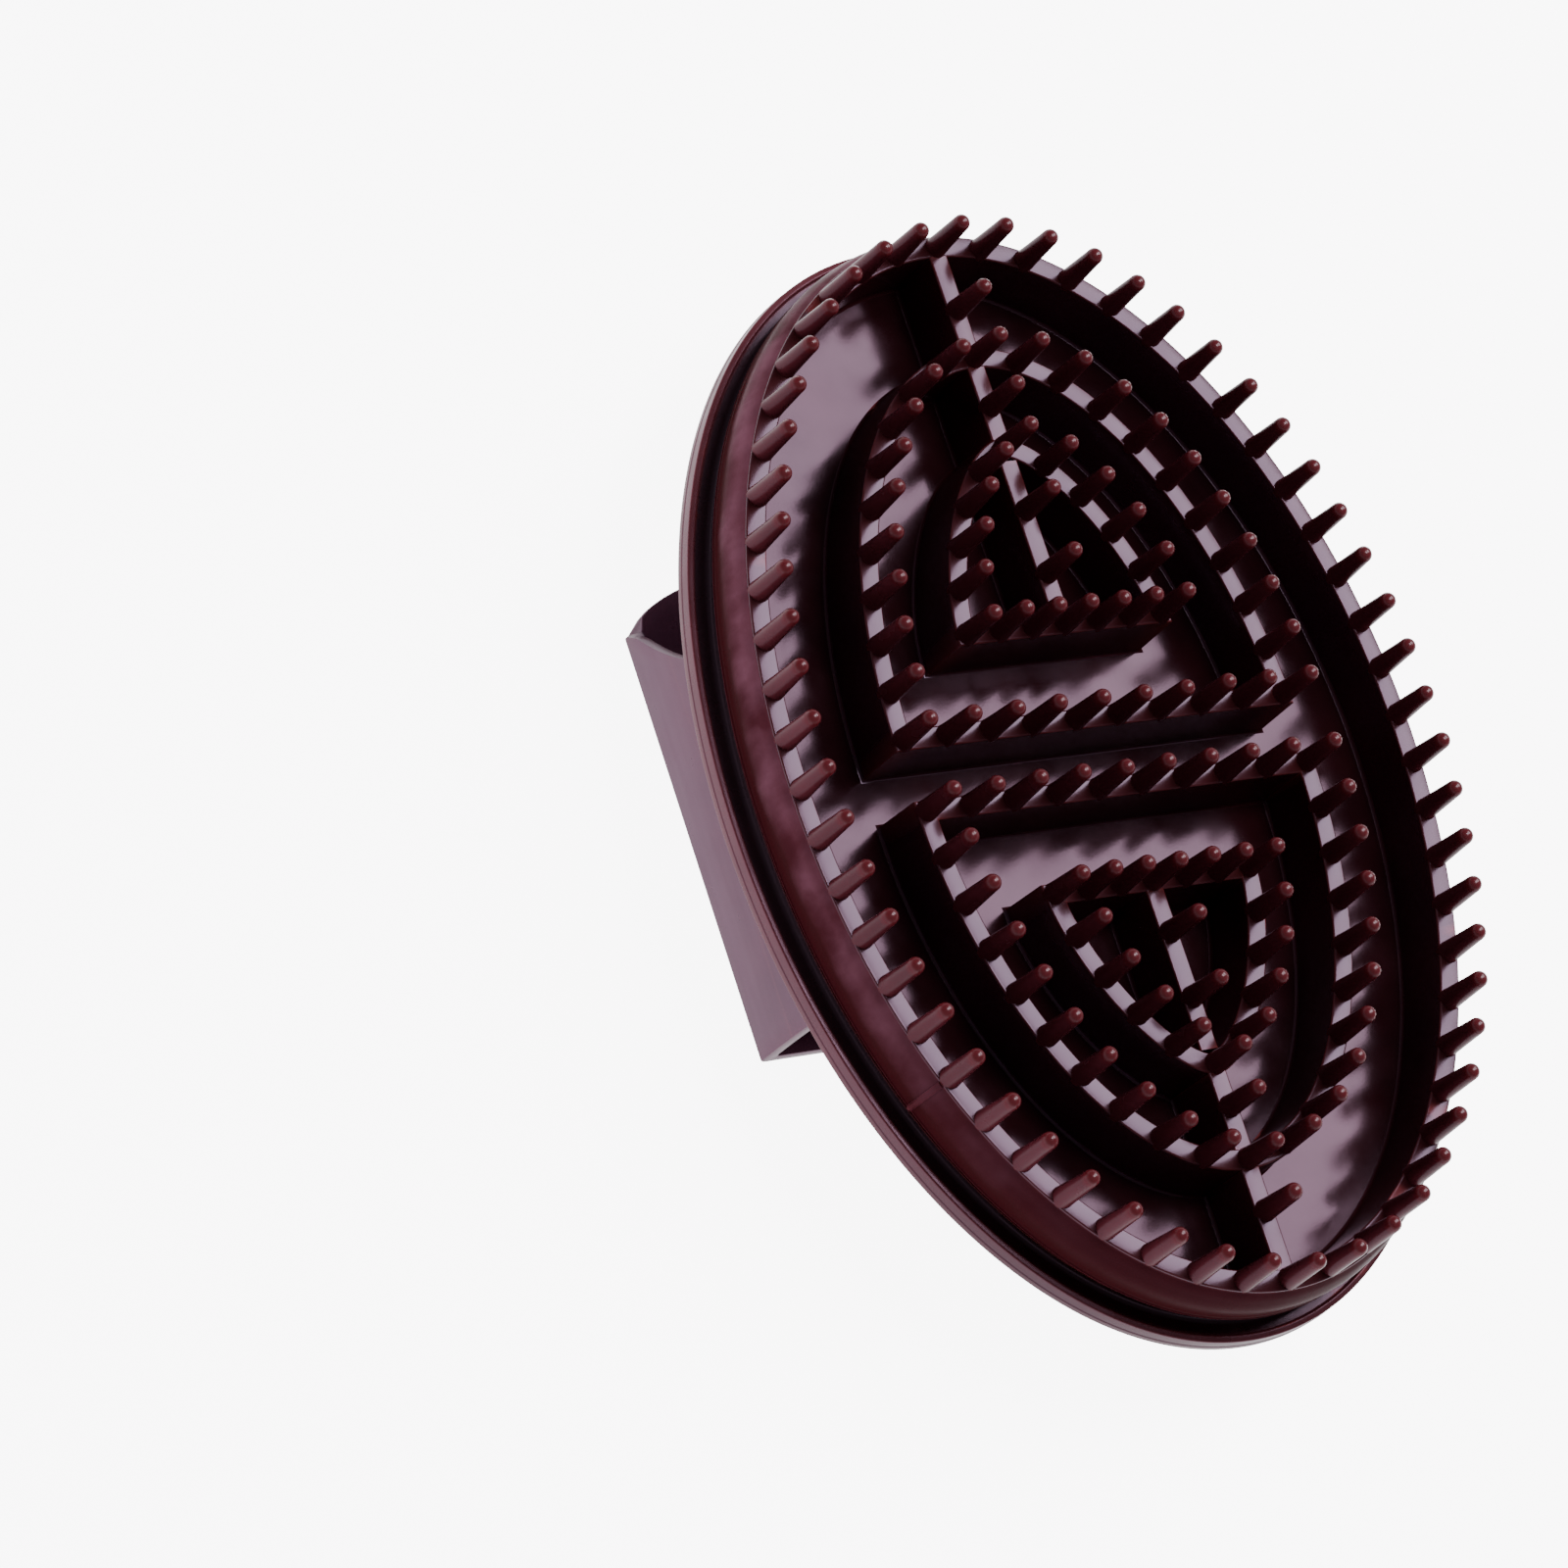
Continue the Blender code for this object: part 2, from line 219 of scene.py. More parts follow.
def skin(form, rows, closed_loop=True):
    """Faces between closed rows of vertices that follow each other."""
    pairs = zip(rows, rows[1:] + rows[:1]) if closed_loop else zip(rows, rows[1:])
    for one, other in pairs:
        for step in range(len(one)):
            following = (step + 1) % len(one)
            form.faces.new((one[step], one[following], other[following], other[step]))


def rows_round(form, outline, section):
    """A row of vertices round an outline for each of a section's (reach, height) points."""
    return [[form.verts.new((x, y, height)) for x, y in grown(outline, reach)] for reach, height in section]


def sweep(form, outline, section):
    """A closed section of (reach, height) points, carried once round a closed outline."""
    skin(form, rows_round(form, outline, section))


def add_pin(form, x, y, tilt):
    """A tapered pin with a flared root and a domed tip."""
    dome_centre = PIN_HEIGHT - PIN_TIP_RADIUS
    profile = list(PIN_PROFILE)
    for step in range(DOME_STEPS):
        angle = pi / 2 * step / DOME_STEPS
        profile.append((PIN_TIP_RADIUS * cos(angle), dome_centre + PIN_TIP_RADIUS * sin(angle)))
    rows = []
    for radius, height in profile:
        middle = Vector((x, y)) + tilt * max(height, 0) / PIN_HEIGHT
        rows.append([form.verts.new((middle.x + radius * cos(2 * pi * side / PIN_SIDES),
                                     middle.y + radius * sin(2 * pi * side / PIN_SIDES),
                                     LAND_Z + height)) for side in range(PIN_SIDES)])
    skin(form, rows, closed_loop=False)
    form.faces.new(rows[0])
    tip = form.verts.new((x + tilt.x, y + tilt.y, LAND_Z + PIN_HEIGHT))
    for side in range(PIN_SIDES):
        form.faces.new((rows[-1][side], rows[-1][(side + 1) % PIN_SIDES], tip))


def lean(random):
    """How far a pin's tip strays from upright, in X and Y."""
    return Vector((random.uniform(-PIN_LEAN, PIN_LEAN), random.uniform(-PIN_LEAN, PIN_LEAN)))


def rib_section(land_z=LAND_Z):
    """A rib from foot to foot, with rounded land edges and filleted feet, closed under the floor."""
    half = RIB_WIDTH / 2
    under = FLOOR_Z - 3 * SINK
    return rounded([(-FOOT_TAIL, FLOOR_Z - SINK, 0), (-HALF_FOOT, FLOOR_Z, FOOT_ROUND),
                    (-half, land_z, LAND_ROUND), (half, land_z, LAND_ROUND),
                    (HALF_FOOT, FLOOR_Z, FOOT_ROUND), (FOOT_TAIL, FLOOR_Z - SINK, 0),
                    (FOOT_TAIL, under, 0), (-FOOT_TAIL, under, 0)])


# Rubber -----------------------------------------------------------------------------------------

RUBBER_IOR = 1.52
MOTTLE_SCALE = 70
GLOSS_SCALE = 160
SKIN_SCALE = 2600
SKIN_DEPTH = 0.000004
# Painted light: thin, pointed edges turn redder, standing for light caught by and shining through thin
# rubber
EDGE_START = 0.505              # the pointiness at which an edge begins to redden
EDGE_FULL = 0.60                # and at which it is reddest
EDGE_SHARE = 0.8                # how much of the edge's colour shows there

# Painted shade: the outside of the pad darkens between these two places towards the heel
HEEL_DARK_Y = -0.068
HEEL_PALE_Y = -0.012

# The outer wall's lower part, darkened with painted shade, as heights above the flange
WALL_DARK_BELOW = 0.0074
WALL_PALE_ABOVE = 0.0108
WALL_LINE_WAVER = 0.0035

# A pin's tip, as depths below its top
TIP_POLISH_FROM = 0.0010
TIP_POLISH_FULL = 0.0004
TIP_RED_FROM = 0.0020
TIP_RED_FULL = 0.0008

GROOVE_FADE = 0.006             # the share of the groove's outer radius over which its colour ends

# Colours that come in over a rubber's own: painted sheen, painted shade and painted light, and the pins'
# red tips
PAINTED_WALL_SHEEN = (0.210, 0.0780, 0.1170, 1)
LOW_WALL_SHADE = (0.036, 0.0034, 0.0054, 1)
# Painted shade towards the heel, on the outer wall and on the flange
HEEL_WALL_SHADE = (0.042, 0.0075, 0.0110, 1)
HEEL_FLANGE_SHADE = (0.050, 0.0110, 0.0155, 1)
# Painted sheen in the groove at the toe end, and painted shade there at the heel end
TOE_GROOVE_SHEEN = (0.066, 0.0360, 0.0500, 1)
HEEL_GROOVE_SHADE = (0.014, 0.0026, 0.0036, 1)
RED_TIP = (0.115, 0.0110, 0.0160, 1)
# Painted light on the strap towards its folds
FOLD_PAINTED_LIGHT = (0.150, 0.0650, 0.1040, 1)


class Shader:
    """A material's node tree, built a node at a time. Patterns lie in the brush's own coordinates."""

    def __init__(self, name):
        self.material = bpy.data.materials.new(name)
        self.material.use_nodes = True
        self.tree = self.material.node_tree
        self.principled = self.tree.nodes["Principled BSDF"]
        self.place = self.add("ShaderNodeTexCoord").outputs["Object"]

    def add(self, kind, **values):
        node = self.tree.nodes.new(kind)
        for key, value in values.items():
            setattr(node, key, value)
        return node

    def link(self, source, target):
        self.tree.links.new(source, target)

    def noise(self, scale, detail, stretch=(1, 1, 1)):
        """A cloudy pattern from 0 to 1."""
        mapping = self.add("ShaderNodeMapping")
        mapping.inputs["Scale"].default_value = stretch
        self.link(self.place, mapping.inputs["Vector"])
        noise = self.add("ShaderNodeTexNoise")
        noise.inputs["Scale"].default_value = scale
        noise.inputs["Detail"].default_value = detail
        self.link(mapping.outputs["Vector"], noise.inputs["Vector"])
        return noise.outputs["Fac"]

    def between(self, source, low, high, start=0.3, finish=0.7):
        """A value that goes from low to high as its source goes from start to finish."""
        ranged = self.add("ShaderNodeMapRange")
        for key, value in (("From Min", start), ("From Max", finish), ("To Min", low), ("To Max", high)):
            ranged.inputs[key].default_value = value
        self.link(source, ranged.inputs["Value"])
        return ranged.outputs["Result"]

    def mix(self, factor, low, high):
        """A colour between two, each of them a plain colour or another node's output."""
        mixer = self.add("ShaderNodeMix", data_type="RGBA")
        self.link(factor, mixer.inputs["Factor"])
        colour_inputs = [socket for socket in mixer.inputs if socket.type == "RGBA"]
        for socket, value in zip(colour_inputs, (low, high)):
            if isinstance(value, tuple):
                socket.default_value = value
            else:
                self.link(value, socket)
        return next(socket for socket in mixer.outputs if socket.type == "RGBA")

    def bump(self, height, distance, under=None):
        """A normal that follows a height pattern, over another bump's normal if there is one."""
        bump = self.add("ShaderNodeBump")
        bump.inputs["Distance"].default_value = distance
        self.link(height, bump.inputs["Height"])
        if under is not None:
            self.link(under, bump.inputs["Normal"])
        return bump.outputs["Normal"]


def coordinate(shader, axis):
    """One of the brush's own coordinates."""
    split = shader.add("ShaderNodeSeparateXYZ")
    shader.link(shader.place, split.inputs["Vector"])
    return split.outputs[axis]


def painted_shade_at_heel(shader, colour, dark):
    """A colour of the pad's outside with painted shade, which turns it darker towards the heel end."""
    heel_shade_share = shader.between(coordinate(shader, "Y"), 1, 0, HEEL_DARK_Y, HEEL_PALE_Y)
    return shader.mix(heel_shade_share, colour, dark)


def wall_painted_sheen_and_shade(shader, colour):
    """The outer wall: painted sheen in cloudy pale patches, painted shade towards the heel, and painted
    shade below a wavy line.
    """
    # Painted sheen: pale cloudy patches stand for the wall's soft reflections
    sheen_cloud = shader.noise(130, 6, (1, 1, 0.7))
    colour = shader.mix(shader.between(sheen_cloud, 0, 0.9, 0.36, 0.70), colour, PAINTED_WALL_SHEEN)
    wavy_height = shader.add("ShaderNodeMath", operation="MULTIPLY_ADD")
    wavy_height.inputs[1].default_value = WALL_LINE_WAVER
    shader.link(sheen_cloud, wavy_height.inputs[0])
    shader.link(coordinate(shader, "Z"), wavy_height.inputs[2])
    colour = painted_shade_at_heel(shader, colour, HEEL_WALL_SHADE)
    # Painted shade: the wall's lower part goes dark below a wavy line
    low_shade = shader.between(wavy_height.outputs["Value"], 1, 0,
                              FLANGE_Z + WALL_DARK_BELOW, FLANGE_Z + WALL_PALE_ABOVE)
    return shader.mix(low_shade, colour, LOW_WALL_SHADE)


def groove_painted_shade_and_sheen(shader, colour):
    """The flange: painted shade towards the heel, and in the groove inside its lip a painted grey sheen at
    the toe end that turns to near black painted shade at the heel end.
    """
    to_groove_edge = shader.add("ShaderNodeMapping")
    groove_size = (1 / (RING_HALF_WIDTH + GROOVE_OUT), 1 / (RING_HALF_LENGTH + GROOVE_OUT), 0)
    to_groove_edge.inputs["Scale"].default_value = groove_size
    shader.link(shader.place, to_groove_edge.inputs["Vector"])
    distance = shader.add("ShaderNodeVectorMath", operation="LENGTH")
    shader.link(to_groove_edge.outputs["Vector"], distance.inputs[0])
    colour = painted_shade_at_heel(shader, colour, HEEL_FLANGE_SHADE)
    in_groove = shader.between(distance.outputs["Value"], 1, 0, 1 - GROOVE_FADE, 1)
    groove = painted_shade_at_heel(shader, TOE_GROOVE_SHEEN, HEEL_GROOVE_SHADE)
    return shader.mix(in_groove, colour, groove)


def redder_coated_tips(shader, colour):
    """The pins: redder and smoother at their tips."""
    height = coordinate(shader, "Z")
    polish = shader.between(height, 0, 0.6, TOP_Z - TIP_POLISH_FROM, TOP_Z - TIP_POLISH_FULL)
    shader.link(polish, shader.principled.inputs["Coat Weight"])
    shader.principled.inputs["Coat Roughness"].default_value = 0.24
    redness = shader.between(height, 0, 1, TOP_Z - TIP_RED_FROM, TOP_Z - TIP_RED_FULL)
    return shader.mix(redness, colour, RED_TIP)


def strap_painted_light_to_fold(shader, colour):
    """The strap: painted light, paler towards its folds away from the pad's shade, with faint streaks along
    it.
    """
    streaks = shader.between(shader.noise(160, 3, (1, 0.12, 1.6)), 0.35, 0.80)
    # Painted light: paler low on the strap, away from the pad's shade
    height = shader.between(coordinate(shader, "Z"), 1, 0, STRAP_Z, BACK_Z)
    pale = shader.add("ShaderNodeMath", operation="MULTIPLY")
    shader.link(streaks, pale.inputs[0])
    shader.link(height, pale.inputs[1])
    return shader.mix(pale.outputs["Value"], colour, FOLD_PAINTED_LIGHT)


def rubber(name, dark, light, edge, roughness, shine, tint, waves, repaint=None):
    """Moulded maroon rubber: mottled colour, thin edges reddened with painted light, uneven gloss, flow
    waves, fine skin.
    """
    shader = Shader(name)
    mottle = shader.noise(MOTTLE_SCALE, 3)
    colour = shader.mix(shader.between(mottle, 0, 1), dark, light)
    if repaint:
        colour = repaint(shader, colour)
    pointiness = shader.add("ShaderNodeNewGeometry").outputs["Pointiness"]
    # Painted light: pointed thin edges turn redder, for light caught by and shining through thin rubber
    colour = shader.mix(shader.between(pointiness, 0, EDGE_SHARE, EDGE_START, EDGE_FULL), colour, edge)
    shader.link(colour, shader.principled.inputs["Base Color"])

    cloud = shader.noise(GLOSS_SCALE, 4)
    shader.link(shader.between(cloud, *roughness), shader.principled.inputs["Roughness"])
    scale, detail, stretch, depth = waves
    normal = shader.bump(shader.noise(scale, detail, stretch), depth)
    normal = shader.bump(shader.noise(SKIN_SCALE, 2), SKIN_DEPTH, under=normal)
    shader.link(normal, shader.principled.inputs["Normal"])
    shader.principled.inputs["IOR"].default_value = RUBBER_IOR
    shader.principled.inputs["Specular IOR Level"].default_value = shine
    shader.principled.inputs["Specular Tint"].default_value = tint
    return shader.material


def make_materials():
    """One rubber for each kind of surface. Waves are (scale, detail, stretch, depth)."""
    edge_glow_red = (0.190, 0.0330, 0.0330, 1)
    dull_edge_glow_red = (0.110, 0.0165, 0.0215, 1)
    rose = (1.0, 0.66, 0.92, 1)
    even = (1, 1, 1)
    fine_waves = (95, 1.5, even, 0.00003)
    return {
        "rib": rubber("rib_rubber", dark=(0.018, 0.0030, 0.0046, 1), light=(0.038, 0.0066, 0.0092, 1),
                      edge=edge_glow_red, roughness=(0.17, 0.25), shine=0.5, tint=(0.93, 0.70, 1.0, 1),
                      waves=fine_waves),
        "pin": rubber("pin_rubber", dark=(0.058, 0.0095, 0.0150, 1), light=(0.096, 0.0175, 0.0265, 1),
                      edge=dull_edge_glow_red, roughness=(0.20, 0.30), shine=0.13, tint=rose,
                      waves=fine_waves, repaint=redder_coated_tips),
        # Painted light: the wall's base colours are lighter and redder than the ribs' rubber, for the light
        # it gets from the paper beside and below it
        "wall": rubber("wall_rubber", dark=(0.070, 0.0150, 0.0230, 1), light=(0.100, 0.0240, 0.0360, 1),
                       edge=(0.120, 0.0280, 0.0400, 1), roughness=(0.24, 0.36), shine=0.01, tint=rose,
                       waves=(95, 1.5, even, 0.00006), repaint=wall_painted_sheen_and_shade),
        "flange": rubber("flange_rubber", dark=(0.100, 0.0230, 0.0320, 1), light=(0.140, 0.0360, 0.0480, 1),
                         edge=edge_glow_red, roughness=(0.22, 0.36), shine=0.38, tint=rose,
                         waves=fine_waves, repaint=groove_painted_shade_and_sheen),
        "floor": rubber("floor_rubber", dark=(0.010, 0.0018, 0.0028, 1), light=(0.024, 0.0044, 0.0064, 1),
                        edge=edge_glow_red, roughness=(0.11, 0.22), shine=0.41, tint=(1.0, 0.61, 0.87, 1),
                        waves=(60, 1.0, (0.7, 0.5, 0.5), 0.0009)),
        "strap": rubber("strap_rubber", dark=(0.056, 0.0120, 0.0250, 1), light=(0.096, 0.0210, 0.0400, 1),
                        edge=(0.140, 0.0440, 0.0600, 1), roughness=(0.26, 0.38), shine=0.64,
                        tint=(1.0, 0.68, 1.0, 1), waves=(95, 1.5, (1, 0.6, 2.5), 0.00010),
                        repaint=strap_painted_light_to_fold),
    }


# The pad ----------------------------------------------------------------------------------------

# Reaches here are measured outwards from the ring's middle line, on which its pins stand

# The groove between the outer wall and the flange's lip, which runs in under the wall's step
GROOVE_IN = 0.0013
GROOVE_OUT = 0.0038
GROOVE_ROUND = 0.0010
GROOVE_FLOOR_Z = FLANGE_Z - 0.0002
STEP_Z = FLANGE_Z + 0.0034

# The flange's lip, and the small step that the mould's parting leaves round its edge
LIP_LEAN = 0.0002
LIP_RISE = 0.0004
LIP_OUTER_RISE = 0.0002
LIP_ROUND = 0.0002
LIP_OUTER_ROUND = 0.0003
PARTING_STEP = 0.0001
PARTING_ROUND = 0.0001
PARTING_LOW = 0.38              # shares of the flange's thickness
PARTING_HIGH = 0.45

# Parts that lie out of sight under the ribs
BASE_INSIDE = 0.0017
UNDER_FLOOR_Z = FLOOR_Z - 0.0005
FLOOR_TUCK = 0.0006             # how far in the floor ends, under the wall, and its outer loops' spacing
FLOOR_THICKNESS = 0.0010
FILL_RINGS = 4


def fill_in(form, row, height):
    """A flat face inside a row of vertices, in rings that shrink to the middle."""
    for ring in range(FILL_RINGS - 1, 0, -1):
        shrink = ring / (ring + 1)
        smaller = [form.verts.new((vertex.co.x * shrink, vertex.co.y * shrink, height)) for vertex in row]
        skin(form, [row, smaller], closed_loop=False)
        row = smaller
    middle = form.verts.new((0, 0, height))
    for step in range(len(row)):
        form.faces.new((row[step], row[(step + 1) % len(row)], middle))


def make_disc(name, profile, material):
    """A flat oval solid with a profile of (reach, height) points round its edge, from top to bottom."""
    form = bmesh.new()
    rows = rows_round(form, ring_outline(RING_STEPS), profile)
    skin(form, rows, closed_loop=False)
    fill_in(form, rows[0], profile[0][1])
    fill_in(form, rows[-1], profile[-1][1])
    disc = add_piece(name, form, material)
    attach(disc, "pad")
    return disc


def make_base(material):
    """The pad's back with the flange, its lip and the groove inside it."""
    edge = FLANGE_REACH
    upper_edge = edge - PARTING_STEP
    thick = FLANGE_Z - BACK_Z
    profile = rounded([(-BASE_INSIDE, UNDER_FLOOR_Z, 0), (GROOVE_IN, UNDER_FLOOR_Z, 0),
                       (GROOVE_IN, GROOVE_FLOOR_Z, GROOVE_ROUND),
                       (GROOVE_OUT, GROOVE_FLOOR_Z, LIP_ROUND),
                       (GROOVE_OUT + LIP_LEAN, FLANGE_Z + LIP_RISE, LIP_ROUND),
                       (upper_edge, FLANGE_Z + LIP_OUTER_RISE, LIP_OUTER_ROUND),
                       (upper_edge, BACK_Z + thick * PARTING_HIGH, LIP_ROUND),
                       (edge, BACK_Z + thick * PARTING_LOW, PARTING_ROUND),
                       (edge, BACK_Z, LIP_ROUND), (-BASE_INSIDE, BACK_Z, 0)])
    base = make_disc("pad_base", profile, material)
    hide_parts("rim_flange")


def make_floor(material):
    """The floor between the ribs, from under the outer wall inwards."""
    under = FLOOR_Z - FLOOR_THICKNESS
    profile = [(-3 * FLOOR_TUCK, FLOOR_Z), (-2 * FLOOR_TUCK, FLOOR_Z), (-FLOOR_TUCK, FLOOR_Z),
               (-FLOOR_TUCK, under), (-3 * FLOOR_TUCK, under)]
    floor = make_disc("pad_floor", profile, material)
    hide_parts("floor_web")


# The outer wall's side, as (reach, rise above its step): its bead, its bulge and its hidden underside
WALL_BEAD = [(0.00268, -0.00006), (0.00280, 0.00002), (0.00282, 0.00014), (0.00272, 0.00024)]
WALL_BULGE = [(0.00268, 0.00045), (0.00272, 0.0009), (0.00278, 0.0015), (0.00285, 0.0022),
              (0.00290, 0.0029), (0.00291, 0.0035), (0.00284, 0.0042), (0.00264, 0.0050),
              (0.00235, 0.0059), (0.00204, 0.0067)]
WALL_UNDERSIDE = [(0.00250, -0.00004), (0.0012, -0.0004), (0.0010, -0.0006), (0.0006, -0.0006)]

# The land's outer edge, and the wall's top under it, as (reach, drop below the land)
LAND_OUTSIDE = 0.00158
LAND_OUTSIDE_ROUND = 0.00026
WALL_TOP = [(LAND_OUTSIDE + 0.00012, 0.00050), (LAND_OUTSIDE + 0.00003, 0.00030)]
WALL_INSIDE = (0.0006, 0.00040)

# The ring's own outer side, hidden behind the outer wall
RING_OUTSIDE = 0.0008
SHOULDER_OUTER_DROP = 0.0005
SHOULDER_INNER_DROP = 0.0009

# The small upright ridge that the mould leaves on the outer wall under one pin
WITNESS_PIN = 34
WITNESS_HALF_WIDTH = 0.00055
WITNESS_PROUD = 0.00030
WITNESS_SPREAD = 0.06           # how fast it stands further out as it goes down
WITNESS_SUNK = 0.0004           # how deep in the wall its sides end
WITNESS_ROUND = [(-0.8, 0.5), (-0.4, 0.93), (0, 1), (0.4, 0.93), (0.8, 0.5)]    # shares across and out


def add_witness(form, pins, bulge):
    """The upright ridge that the mould leaves on the outer wall under one pin."""
    here = Vector(pins[WITNESS_PIN])
    along = (Vector(pins[WITNESS_PIN + 1]) - Vector(pins[WITNESS_PIN - 1])).normalized()
    outwards = Vector((along.y, -along.x))
    rows = []
    for reach, height in bulge:
        proud = WITNESS_PROUD + WITNESS_SPREAD * (bulge[-1][1] - height)
        curve = [(across, share * proud) for across, share in WITNESS_ROUND]
        row = []
        for across, out in [(-1, -WITNESS_SUNK)] + curve + [(1, -WITNESS_SUNK)]:
            place = here + across * WITNESS_HALF_WIDTH * along + (reach + out) * outwards
            row.append(form.verts.new((place.x, place.y, height)))
        rows.append(row)
    skin(form, rows, closed_loop=False)
    form.faces.new(rows[0])
    form.faces.new(rows[-1])


def make_ring(material):
    """The oval wall's inner side and its land."""
    form = bmesh.new()
    section = rounded([(-FOOT_TAIL, FLOOR_Z - SINK, 0), (-HALF_FOOT, FLOOR_Z, FOOT_ROUND),
                       (-RIB_WIDTH / 2, LAND_Z, LAND_ROUND), (LAND_OUTSIDE, LAND_Z, LAND_OUTSIDE_ROUND),
                       (LAND_OUTSIDE, LAND_Z - SHOULDER_OUTER_DROP, 0),
                       (RING_OUTSIDE, LAND_Z - SHOULDER_INNER_DROP, 0),
                       (RING_OUTSIDE, FLANGE_Z, 0), (-FOOT_TAIL, FLANGE_Z, 0)])
    sweep(form, ring_outline(RING_STEPS), section)
    ring = add_piece("ring_wall", form, material)
    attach(ring, "pad")
    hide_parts(*[node for node in nodes if node.startswith("ring_")])


def make_outer_wall(material):
    """The oval wall's outer side: a small beaded step over the groove and a bulge up to the land."""
    form = bmesh.new()
    bead = [(reach, STEP_Z + rise) for reach, rise in WALL_BEAD]
    bulge = [(reach, STEP_Z + rise) for reach, rise in WALL_BULGE]
    bulge += [(reach, LAND_Z - drop) for reach, drop in WALL_TOP]
    underside = [(reach, STEP_Z + rise) for reach, rise in WALL_UNDERSIDE]
    inside = (WALL_INSIDE[0], LAND_Z - WALL_INSIDE[1])
    sweep(form, ring_outline(RING_STEPS), [inside] + list(reversed(bead + bulge)) + underside)
    add_witness(form, ring_outline(RING_PINS), bulge)
    wall = add_piece("ring_outer_wall", form, material)
    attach(wall, "pad")


def make_d_rib(which, end, material):
    """A whole D: its arch and its chord in one closed run."""
    end_name = "toe" if end > 0 else "heel"
    form = bmesh.new()
    arc = arch(which, ARCH_STEPS[which] + 1)
    chord_run = evenly_along([arc[-1], arc[0]], ARCH_STEPS[which] // 4)[1:-1]
    sweep(form, mirrored(arc + chord_run, end), rib_section())
    rib = add_piece(f"{end_name}_{which}_rib", form, material)
    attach(rib, "pad")
    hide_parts(*[f"{end_name}_{which}_{part}" for part in ("left", "crown", "right", "chord")])


SPINE_LET_IN = 0.0008           # how far a spine's ends reach into the ribs that it meets
SPINE_SINK = 0.00005            # how far its land lies under theirs
SPINE_CLEAR = 0.0002            # and how far past its node's ends its next rows of vertices stand


def make_spine(place, end, material):
    """A short rib along the middle line, its ends let into the ribs that it meets."""
    end_name = "toe" if end > 0 else "heel"
    node = f"{end_name}_spine_{place}"
    low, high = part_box(node)
    form = bmesh.new()
    section = rib_section(LAND_Z - SPINE_SINK)
    rows = []
    for y in (low.y - SPINE_LET_IN, low.y - SPINE_CLEAR, (low.y + high.y) / 2,
              high.y + SPINE_CLEAR, high.y + SPINE_LET_IN):
        rows.append([form.verts.new((reach, y, height)) for reach, height in section])
    skin(form, rows, closed_loop=False)
    form.faces.new(rows[0])
    form.faces.new(rows[-1])
    spine = add_piece(f"{end_name}_spine_{place}_rib", form, material)
    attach(spine, "pad")
    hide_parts(node)


def pin_places():
    """Where every pin stands."""
    places = ring_outline(RING_PINS)
    for end in (1, -1):
        for which in ("outer", "inner"):
            arc = arch(which, ARC_PINS[which])
            chord = evenly_along([arc[-1], arc[0]], CHORD_PINS[which])[1:-1]
            places += mirrored(arc + chord, end)
        for spots in SPINE_PINS.values():
            places += [(0.0, end * y) for y in spots]
    return places


def make_pins(material):
    """All the pins, each with a slight lean of its own."""
    form = bmesh.new()
    random = Random(LEAN_SEED)
    for x, y in pin_places():
        add_pin(form, x, y, lean(random))
    pins = add_piece("pins", form, material)
    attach(pins, "pad")


# The strap --------------------------------------------------------------------------------------

# The strap's thickness widens into its root, as (height below the pad's back, half thickness)
ROOT_FLARE = [(-0.00015, 0.0029), (0.00010, 0.0025), (0.00045, 0.0018), (0.0010, 0.00135),
              (0.0018, 0.00108)]
STRAP_HALF = 0.00098            # half the strap's thickness

# A flank, from below its flared root down to just above its fold
FLANK_DROP = 0.0027
FLANK_END_RISE = 0.0008
FLANK_STEPS = 26
FLANK_BOW = 0.0002              # how far it bows outwards on the way
FLANK_HEEL_TRIM = 0.0002
TOE_EDGE_CURVE = 1.4            # its toe edge leaves the fold steeply and then eases

# The fold, and the back panel that follows it
FOLD_ROUND = 0.0010
FOLD_INSIDE_ROUND = 0.0005
FOLD_STEPS = 8
PANEL_INSET = 0.0006
PANEL_STEPS = 30
TOE_BOW = 0.0070                # how far the panel's toe edge bows out in the middle
TOE_FULLNESS = 5                # and how squarely
CORNER_DEPTH = 0.0013           # how far the toe edge draws back at the fold
CORNER_REACH = 0.0016           # and how soon it is back

STRAP_COLUMNS = 26
STRAP_EDGE_ROUND = 0.00028
EDGE_CORNER_SHARE = 0.3         # where the round's corner lies, as a share of the round
SPLIT_Z = 0.0100                # where the root's piece of a flank meets the fold's
SPLIT_X = 0.0380                # where the fold's piece meets the back panel's

# The opened pivot between the right flank and its root
KNUCKLE_STEPS = 6
KNUCKLE_PROUD = 0.00004


def lowered_share(z):
    """How far down a height lies, from 0 at the sway's axis to 1 at the fold's."""
    return min(max((SWAY.z - z) / (SWAY.z - LEFT_FOLD.z), 0.0), 1.0)


def flank_ends(z):
    """A flank's heel and toe ends at a height."""
    low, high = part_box("strap_left_flank")
    root_low, root_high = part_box("strap_left_root")
    toe = root_high.y + (high.y - root_high.y) * lowered_share(z) ** TOE_EDGE_CURVE
    heel = root_low.y + (low.y + FLANK_HEEL_TRIM - root_low.y) * lowered_share(z)
    return heel, toe


def corner_cut(distance):
    """How far the toe edge draws back near a fold, to round the strap's corner."""
    return CORNER_DEPTH * exp(-(distance / CORNER_REACH) ** 2)


def toe_bow(x):
    """How far the back panel's toe edge bows out at an x."""
    return TOE_BOW * (1 - min(x / RIGHT_FOLD.x, 1) ** TOE_FULLNESS)


